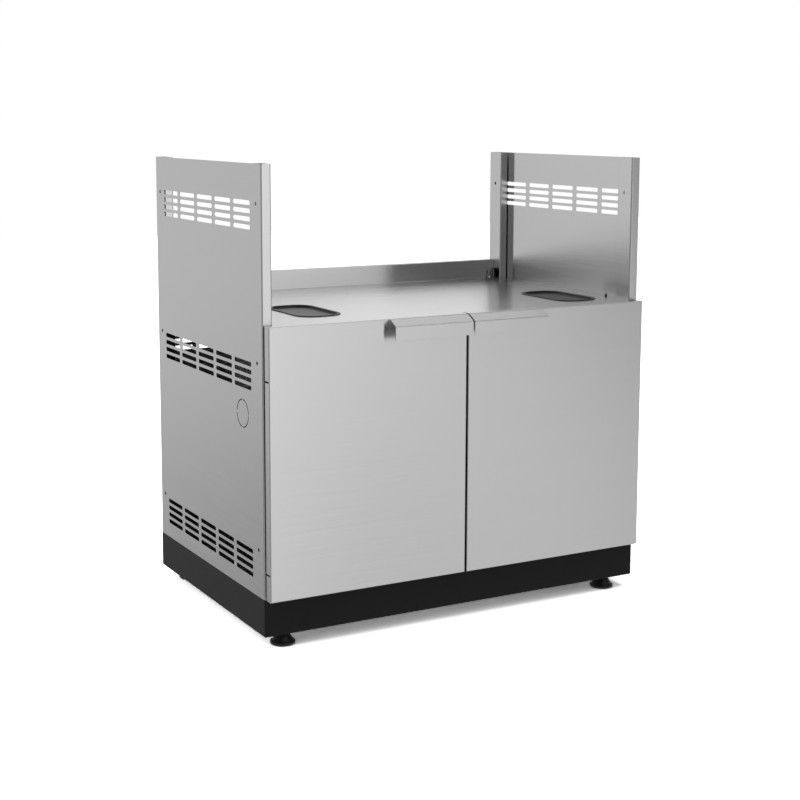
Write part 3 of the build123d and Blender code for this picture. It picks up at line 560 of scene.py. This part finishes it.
def plain_mesh(piece):
    """Replaces an object's modifiers by the mesh that they make."""
    graph = bpy.context.evaluated_depsgraph_get()
    mesh = bpy.data.meshes.new_from_object(
        piece.evaluated_get(graph), preserve_all_data_layers=True, depsgraph=graph)
    piece.modifiers.clear()
    piece.data = mesh
    mesh.shade_smooth()
    mesh.set_sharp_from_angle(angle=SMOOTH_BELOW)
    return piece


def new_piece(name, mesh):
    """An object that sits at the origin, with its place in its mesh."""
    piece = bpy.data.objects.new(name, mesh)
    bpy.context.scene.collection.objects.link(piece)
    return piece


def made_by_tree(name, start, tree, values):
    """Runs a geometry tree, with its named inputs set, on a starting mesh."""
    piece = new_piece(name, start)
    modifier = piece.modifiers.new("tree", "NODES")
    modifier.node_group = tree
    for socket in tree.interface.items_tree:
        if socket.in_out == "INPUT" and socket.name in values:
            modifier[socket.identifier] = values[socket.name]
    return plain_mesh(piece)


def declare(piece, like, *replaced):
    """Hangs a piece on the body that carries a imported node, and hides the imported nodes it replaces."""
    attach(piece, body_of[like])
    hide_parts(*replaced)


# %% [markdown]
# ## A threaded rod as a tree
#
# A screw thread is a cylinder whose radius rises and falls along a helix. The tree starts from a plain
# cylinder with many rings and moves each point in or out by a triangle wave. The wave's phase is the
# height in pitches less the angle in turns, so the crests climb one pitch in each turn. The screws and
# the levelling studs both use this tree.

# %% Threaded rod
ROD_SIDES = 20
RINGS_IN_A_PITCH = 4


def new_tree(name, inputs):
    """An empty geometry tree with named inputs."""
    tree = bpy.data.node_groups.new(name, "GeometryNodeTree")
    tree.interface.new_socket("Geometry", in_out="INPUT", socket_type="NodeSocketGeometry")
    for socket_name, kind in inputs:
        tree.interface.new_socket(socket_name, in_out="INPUT", socket_type=kind)
    tree.interface.new_socket("Result", in_out="OUTPUT", socket_type="NodeSocketGeometry")
    return tree, add_node(tree, "NodeGroupInput").outputs


def finish_tree(tree, geometry, finish):
    """Ends a tree: copies become real faces, and every face gets the finish."""
    real = add_node(tree, "GeometryNodeRealizeInstances", {0: geometry})
    coloured = add_node(tree, "GeometryNodeSetMaterial", {"Geometry": real.outputs[0], "Material": finish})
    add_node(tree, "NodeGroupOutput", {0: coloured.outputs[0]})
    print(tree.name, len(tree.nodes), "nodes")


FLOAT, MATERIAL, INTEGER = "NodeSocketFloat", "NodeSocketMaterial", "NodeSocketInt"
rod_tree, given = new_tree(
    "threaded_rod", (("Radius", FLOAT), ("Length", FLOAT), ("Pitch", FLOAT), ("Thread Depth", FLOAT),
                     ("Finish", MATERIAL)))
pitches = add_node(
    rod_tree, "ShaderNodeMath", {0: given["Length"], 1: given["Pitch"]}, operation="DIVIDE").outputs[0]
rings = add_node(
    rod_tree, "ShaderNodeMath", {0: pitches, 1: RINGS_IN_A_PITCH}, operation="MULTIPLY").outputs[0]
cylinder = add_node(
    rod_tree, "GeometryNodeMeshCylinder",
    {"Vertices": ROD_SIDES, "Side Segments": rings, "Radius": given["Radius"], "Depth": given["Length"]})
place = add_node(rod_tree, "GeometryNodeInputPosition").outputs[0]
axes = add_node(rod_tree, "ShaderNodeSeparateXYZ", {0: place}).outputs
angle = add_node(rod_tree, "ShaderNodeMath", {0: axes[1], 1: axes[0]}, operation="ARCTAN2").outputs[0]
turns = add_node(
    rod_tree, "ShaderNodeMath", {0: angle, 1: 2 * math.pi}, operation="DIVIDE").outputs[0]
climb = add_node(
    rod_tree, "ShaderNodeMath", {0: axes[2], 1: given["Pitch"]}, operation="DIVIDE").outputs[0]
phase = add_node(rod_tree, "ShaderNodeMath", {0: climb, 1: turns}, operation="SUBTRACT").outputs[0]
# the wave runs between 0 and a half, so the thread's depth is twice the wave
wave = add_node(rod_tree, "ShaderNodeMath", {0: phase, 1: 0.5}, operation="PINGPONG").outputs[0]
depth_share = add_node(
    rod_tree, "ShaderNodeMath", {0: given["Thread Depth"], 1: given["Radius"]},
    operation="DIVIDE").outputs[0]
cut = add_node(rod_tree, "ShaderNodeMath", {0: wave, 1: depth_share}, operation="MULTIPLY").outputs[0]
narrow = add_node(
    rod_tree, "ShaderNodeMath", {0: cut, 1: -2.0, 2: 1.0}, operation="MULTIPLY_ADD").outputs[0]
scale = add_node(rod_tree, "ShaderNodeCombineXYZ", {0: narrow, 1: narrow, 2: 1.0}).outputs[0]
moved = add_node(
    rod_tree, "ShaderNodeVectorMath", {0: place, 1: scale}, operation="MULTIPLY").outputs[0]
rod = add_node(
    rod_tree, "GeometryNodeSetPosition", {"Geometry": cylinder.outputs["Mesh"], "Position": moved})
finish_tree(rod_tree, rod.outputs[0], given["Finish"])

# %% [markdown]
# ## Screws and rivets as a tree
#
# A pan head is the upper half of a flattened ball. A cross recess is two thin blocks taken away from
# it, turned a quarter turn from each other, and a blind rivet has a small round pit instead, where its
# mandrel snapped. The finished fastener is put on every point of the starting mesh, turned so that its
# head looks along the point's own facing direction, and given a random twist with a fixed seed,
# because nobody lines up screws.

# %% Fastener tree
HEAD_SEGMENTS = 28
HEAD_RINGS = 16
FASTENER_INPUTS = (
    ("Head Radius", FLOAT), ("Head Height", FLOAT), ("Shank Radius", FLOAT), ("Shank Length", FLOAT),
    ("Thread Pitch", FLOAT), ("Thread Depth", FLOAT), ("Recess Width", FLOAT), ("Recess Reach", FLOAT),
    ("Recess Depth", FLOAT), ("Seed", INTEGER), ("Finish", MATERIAL),
)


def fastener_tree(name, crossed):
    """A tree that puts a domed fastener, with a crossed recess or a round pit, on each point."""
    tree, given = new_tree(name, FASTENER_INPUTS)
    ball = add_node(
        tree, "GeometryNodeMeshUVSphere",
        {"Segments": HEAD_SEGMENTS, "Rings": HEAD_RINGS, "Radius": 1.0})
    where = add_node(tree, "GeometryNodeInputPosition").outputs[0]
    raised = add_node(
        tree, "ShaderNodeVectorMath", {0: where, 1: (-1.0, -1.0, 0.0)}, operation="MAXIMUM").outputs[0]
    half = add_node(tree, "GeometryNodeSetPosition", {"Geometry": ball.outputs["Mesh"], "Position": raised})
    sizes = add_node(
        tree, "ShaderNodeCombineXYZ",
        {0: given["Head Radius"], 1: given["Head Radius"], 2: given["Head Height"]})
    dome = add_node(
        tree, "GeometryNodeTransform", {"Geometry": half.outputs[0], "Scale": sizes.outputs[0]})
    crown = add_node(tree, "ShaderNodeCombineXYZ", {2: given["Head Height"]}).outputs[0]
    depth = add_node(
        tree, "ShaderNodeMath", {0: given["Recess Depth"], 1: 2.0}, operation="MULTIPLY").outputs[0]
    recessed = add_node(
        tree, "GeometryNodeMeshBoolean", {"Mesh 1": dome.outputs[0]}, operation="DIFFERENCE")
    if crossed:
        block_size = add_node(
            tree, "ShaderNodeCombineXYZ", {0: given["Recess Width"], 1: given["Recess Reach"], 2: depth})
        block = add_node(tree, "GeometryNodeMeshCube", {"Size": block_size.outputs[0]})
        for quarter in (0.0, math.pi / 2):
            cutter = add_node(
                tree, "GeometryNodeTransform",
                {"Geometry": block.outputs["Mesh"], "Translation": crown, "Rotation": (0, 0, quarter)})
            tree.links.new(cutter.outputs[0], recessed.inputs["Mesh 2"])
    else:
        radius = add_node(
            tree, "ShaderNodeMath", {0: given["Recess Width"], 1: 0.5}, operation="MULTIPLY").outputs[0]
        pit = add_node(
            tree, "GeometryNodeMeshCylinder", {"Vertices": ROD_SIDES, "Radius": radius, "Depth": depth})
        cutter = add_node(
            tree, "GeometryNodeTransform", {"Geometry": pit.outputs["Mesh"], "Translation": crown})
        tree.links.new(cutter.outputs[0], recessed.inputs["Mesh 2"])
    shank = add_node(
        tree, "GeometryNodeGroup",
        {"Radius": given["Shank Radius"], "Length": given["Shank Length"],
         "Pitch": given["Thread Pitch"], "Thread Depth": given["Thread Depth"],
         "Finish": given["Finish"]},
        node_tree=rod_tree)
    drop = add_node(
        tree, "ShaderNodeMath", {0: given["Shank Length"], 1: -0.5}, operation="MULTIPLY").outputs[0]
    down = add_node(tree, "ShaderNodeCombineXYZ", {2: drop}).outputs[0]
    hung = add_node(tree, "GeometryNodeTransform", {"Geometry": shank.outputs[0], "Translation": down})
    whole = add_node(tree, "GeometryNodeJoinGeometry", {0: recessed.outputs["Mesh"]})
    tree.links.new(hung.outputs[0], whole.inputs[0])
    facing = add_node(
        tree, "GeometryNodeInputNamedAttribute", {"Name": "facing"}, data_type="FLOAT_VECTOR")
    upright = add_node(
        tree, "FunctionNodeAlignRotationToVector", {"Vector": facing.outputs[0]}, axis="Z")
    twist = add_node(
        tree, "FunctionNodeRandomValue", {2: 0.0, 3: math.pi / 2, "Seed": given["Seed"]},
        data_type="FLOAT").outputs[1]
    spin = add_node(tree, "ShaderNodeCombineXYZ", {2: twist})
    turned = add_node(
        tree, "FunctionNodeRotateRotation",
        {"Rotation": upright.outputs[0],
         "Rotate By": add_node(tree, "FunctionNodeEulerToRotation", {0: spin.outputs[0]}).outputs[0]},
        rotation_space="LOCAL")
    copies = add_node(
        tree, "GeometryNodeInstanceOnPoints",
        {"Points": given["Geometry"], "Instance": whole.outputs[0], "Rotation": turned.outputs[0]})
    finish_tree(tree, copies.outputs[0], given["Finish"])
    return tree


screw_tree = fastener_tree("pan_head_screw", crossed=True)
rivet_tree = fastener_tree("blind_rivet", crossed=False)

# %% [markdown]
# ## Reading each fastener's seat
#
# Each packed fastener is a shank with a wider head. Its long side is its axis, and the points that lie
# further out than the shank belong to the head, so the seat, the facing direction and every size can
# be read from the solid itself.

# %% Screws and rivets
SHANK_MARGIN = 1.2
THREAD_PITCH = 0.7 * MM  # the coarse pitch of a 4 mm screw
THREAD_DEPTH = 0.38 * MM
RECESS_WIDTH = 0.95 * MM
RECESS_REACH_SHARE = 1.15  # of the head's radius
RECESS_DEPTH_SHARE = 0.62  # of the head's height
PIT_SHARE = 0.55  # of the head's radius
SCREW_NODES = ("rear_rail_screws", "front_rail_screws", "back_panel_screws", "hinge_screws",
               "floor_screws", "catch_screws")
RIVET_NODES = ("deck_rivets", "left_handle_rivets", "right_handle_rivets")


def fastener(solid):
    """A fastener's seat, facing direction, head radius, head height, shank radius and shank length."""
    low = Vector(min(p[i] for p in solid) for i in range(3))
    high = Vector(max(p[i] for p in solid) for i in range(3))
    long_side = max(range(3), key=lambda i: high[i] - low[i])
    middle = (low + high) / 2
    axis = Vector(float(i == long_side) for i in range(3))
    spreads = [((p - middle) - axis * (p - middle)[long_side]).length for p in solid]
    shank_radius = min(s for s in spreads if s > SEAM)
    head = [p[long_side] for p, s in zip(solid, spreads) if s > shank_radius * SHANK_MARGIN]
    sign = 1.0 if min(head) + max(head) > 2 * middle[long_side] else -1.0
    seat = middle.copy()
    seat[long_side] = min(head) if sign > 0 else max(head)
    head_height = max(head) - min(head)
    length = high[long_side] - low[long_side] - head_height
    return seat, axis * sign, max(spreads), head_height, shank_radius, length


def fastened(name, tree, width_of, reach_share):
    """One detailed piece for one packed group of equal fasteners."""
    found = [fastener(solid) for solid in loose_solids(name)]
    head_radius, head_height, shank_radius, length = found[0][2:]
    seats = bpy.data.meshes.new(name)
    seats.from_pydata([seat for seat, *_ in found], [], [])
    facing = seats.attributes.new("facing", "FLOAT_VECTOR", "POINT")
    facing.data.foreach_set("vector", [value for _, way, *_ in found for value in way])
    values = {
        "Head Radius": head_radius, "Head Height": head_height, "Shank Radius": shank_radius,
        "Shank Length": length, "Thread Pitch": THREAD_PITCH,
        "Thread Depth": THREAD_DEPTH if tree is screw_tree else 0.0,
        "Recess Width": width_of(head_radius), "Recess Reach": reach_share * head_radius,
        "Recess Depth": RECESS_DEPTH_SHARE * head_height, "Seed": len(name),
        "Finish": finishes[slot_of[name]],
    }
    piece = made_by_tree(f"{name}_detailed", seats, tree, values)
    declare(piece, name, name)
    print(piece.name, len(found), "pieces, head", round(head_radius / MM, 2), "x",
          round(head_height / MM, 2), "shank", round(shank_radius / MM, 2), "x", round(length / MM, 1),
          "facing", tuple(found[0][1]), "faces", len(piece.data.polygons))


for name in SCREW_NODES:
    fastened(name, screw_tree, lambda radius: RECESS_WIDTH, RECESS_REACH_SHARE)
for name in RIVET_NODES:
    fastened(name, rivet_tree, lambda radius: radius * PIT_SHARE, 0.0)

# %% [markdown]
# ## Rubber grommets
#
# Each grommet is one moulding that is pressed into the deck's cut-out: a rounded rim on top, a flange
# below, and a thin web that closes the hole until a hose is led through. Its section stays the same all
# the way round, so it is drawn once, as steps inwards and upwards, and carried round the rounded
# outline. A corner's radius shrinks with each step inwards, as a real offset does. A narrow cut across
# the rim at its front and back comes last.

# %% Grommets
GROMMET_CORNER = 38.0 * MM
CORNER_STEPS = 14
NOTCH = 1.2 * MM
NOTCH_FLOOR = 0.05  # how far the cut stays above the web, in millimetres
RIM_WALL = 7.0  # the rim's width and the lap over the deck, in millimetres
LAP = 5.15
GROMMET_SECTION = (  # millimetres inwards from the outer edge, and above the deck's face
    (8.9, -2.8), (8.1, -2.65), (7.6, -2.2), (7.35, -1.4), (RIM_WALL, 0.6), (6.8, 1.2), (6.3, 1.7),
    (5.5, 1.95), (4.2, 2.0), (2.4, 2.0), (1.3, 1.85), (0.6, 1.45), (0.15, 0.85), (0.0, 0.35), (0.2, 0.0),
    (LAP, 0.0), (LAP, -1.5), (0.5, -1.5), (0.1, -1.8), (0.0, -2.4), (0.15, -3.1), (0.6, -3.5),
    (LAP, -3.5), (LAP, -4.3), (8.9, -4.3),
)
RIM_TOP = max(height for _, height in GROMMET_SECTION)


def rounded_outline(middle, half_x, half_y, corner, height):
    """The points of a rounded rectangle, corner by corner, against the clock."""
    points = []
    for quarter, (side_x, side_y) in enumerate(((1, 1), (-1, 1), (-1, -1), (1, -1))):
        for step in range(CORNER_STEPS + 1):
            angle = math.pi / 2 * (quarter + step / CORNER_STEPS)
            points.append(Vector((
                middle.x + side_x * (half_x - corner) + corner * math.cos(angle),
                middle.y + side_y * (half_y - corner) + corner * math.sin(angle),
                height)))
    return points


def skin_of_rings(name, rings):
    """A closed mesh over a row of equal rings, with a face across each end."""
    mesh = bmesh.new()
    rows = [[mesh.verts.new(point) for point in ring] for ring in rings]
    for row, after in zip(rows, rows[1:]):
        for i in range(len(row)):
            j = (i + 1) % len(row)
            mesh.faces.new((row[i], row[j], after[j], after[i]))
    mesh.faces.new(rows[0])
    mesh.faces.new(list(reversed(rows[-1])))
    bmesh.ops.remove_doubles(mesh, verts=mesh.verts, dist=SEAM)
    bmesh.ops.recalc_face_normals(mesh, faces=mesh.faces)
    data = bpy.data.meshes.new(name)
    mesh.to_mesh(data)
    mesh.free()
    return data


def cut_by_block(piece, low, high):
    """Takes a block away from a piece."""
    mesh = bmesh.new()
    bmesh.ops.create_cube(mesh, size=1.0)
    low, high = Vector(low), Vector(high)
    for point in mesh.verts:
        point.co = (low + high) / 2 + point.co * (high - low)
    data = bpy.data.meshes.new("block")
    mesh.to_mesh(data)
    mesh.free()
    block = new_piece("block", data)
    cut = piece.modifiers.new("cut", "BOOLEAN")
    cut.operation = "DIFFERENCE"
    cut.object = block
    plain_mesh(piece)
    bpy.data.objects.remove(block)


def grommet(name):
    """One moulded grommet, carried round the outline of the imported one."""
    low, high = (Vector(corner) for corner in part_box(name))
    middle, half = (low + high) / 2, (high - low) / 2
    deck_face = high.z - RIM_TOP * MM
    rings = [
        rounded_outline(middle, half.x - inwards * MM, half.y - inwards * MM,
                        GROMMET_CORNER - inwards * MM, deck_face + height * MM)
        for inwards, height in GROMMET_SECTION
    ]
    piece = new_piece(f"{name}_moulded", skin_of_rings(name, rings))
    notch_bottom = deck_face + (GROMMET_SECTION[0][1] + NOTCH_FLOOR) * MM
    cut_by_block(
        piece, (middle.x - NOTCH / 2, low.y - NOTCH, notch_bottom),
        (middle.x + NOTCH / 2, high.y + NOTCH, high.z + NOTCH))
    piece.data.materials.clear()
    piece.data.materials.append(finishes[slot_of[name]])
    declare(piece, name, name)
    print(piece.name, "faces", len(piece.data.polygons))


for word in ("left", "right"):
    grommet(f"{word}_grommet")

# %% [markdown]
# ## Levelling feet
#
# A foot is a round nylon pad moulded on a threaded stud, which screws up and down in a nut in the base.
# The pad is a turned shape, so its outline is carried round its axis: a sole with a soft edge, a short
# upright rim, a cone that sweeps up to the neck, and the socket that grips the stud.

# %% Foot pads
LATHE_STEPS = 56
PAD_OUTLINE = (  # share of the pad's radius, and share of its height
    (0.000, 0.000), (0.860, 0.000), (0.930, 0.012), (0.978, 0.040), (1.000, 0.085), (1.000, 0.180),
    (0.990, 0.218), (0.962, 0.246), (0.915, 0.266), (0.830, 0.345), (0.730, 0.480), (0.640, 0.615),
    (0.560, 0.750), (0.500, 0.860), (0.462, 0.930), (0.445, 0.968), (0.425, 0.990), (0.395, 1.000),
    (0.235, 1.000), (0.215, 0.990), (0.213, 0.475), (0.000, 0.475),
)


def foot_pad(name):
    """One pad, turned about its own axis."""
    low, high = (Vector(corner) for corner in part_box(name))
    middle, radius, height = (low + high) / 2, (high.x - low.x) / 2, high.z - low.z
    rings = []
    for radius_share, height_share in PAD_OUTLINE[1:-1]:
        turns = [2 * math.pi * step / LATHE_STEPS for step in range(LATHE_STEPS)]
        rings.append([
            Vector((middle.x + radius * radius_share * math.cos(a),
                    middle.y + radius * radius_share * math.sin(a), low.z + height * height_share))
            for a in turns])
    piece = new_piece(f"{name}_turned", skin_of_rings(name, rings))
    piece.data.materials.append(finishes[slot_of[name]])
    piece.data.shade_smooth()
    piece.data.set_sharp_from_angle(angle=SMOOTH_BELOW)
    declare(piece, name, name)
    return piece


pads = [foot_pad(name) for name in sorted(nodes) if name.endswith("_foot_pad")]
print("pads", len(pads), "faces each", len(pads[0].data.polygons))

# %% [markdown]
# ## Threaded studs
#
# The stud could be a plain pin, but it shows below the base as soon as a foot is screwed down. The
# rod tree is centred on the origin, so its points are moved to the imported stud's middle, and a thin
# block then cuts the slot.

# %% Threaded studs
STUD_PITCH = 1.5 * MM  # the coarse pitch of a 10 mm thread
STUD_THREAD = 0.85 * MM
SLOT_WIDTH = 1.3 * MM
SLOT_DEPTH = 1.25 * MM


def foot_stud(name):
    """One threaded stud with a slotted top."""
    low, high = (Vector(corner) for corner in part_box(name))
    middle, length = (low + high) / 2, high.z - low.z
    values = {"Radius": (high.x - low.x) / 2, "Length": length, "Pitch": STUD_PITCH,
              "Thread Depth": STUD_THREAD, "Finish": finishes[slot_of[name]]}
    piece = made_by_tree(f"{name}_threaded", bpy.data.meshes.new(name), rod_tree, values)
    for point in piece.data.vertices:
        point.co += middle
    reach = high.x - low.x
    cut_by_block(
        piece, (middle.x - reach, middle.y - SLOT_WIDTH / 2, high.z - SLOT_DEPTH),
        (middle.x + reach, middle.y + SLOT_WIDTH / 2, high.z + SLOT_DEPTH))
    piece.data.materials.clear()
    piece.data.materials.append(finishes[slot_of[name]])
    declare(piece, name, name)
    return piece


studs = [foot_stud(name) for name in sorted(nodes) if name.endswith("_foot_stud")]
print("studs", len(studs), "faces each", len(studs[0].data.polygons))
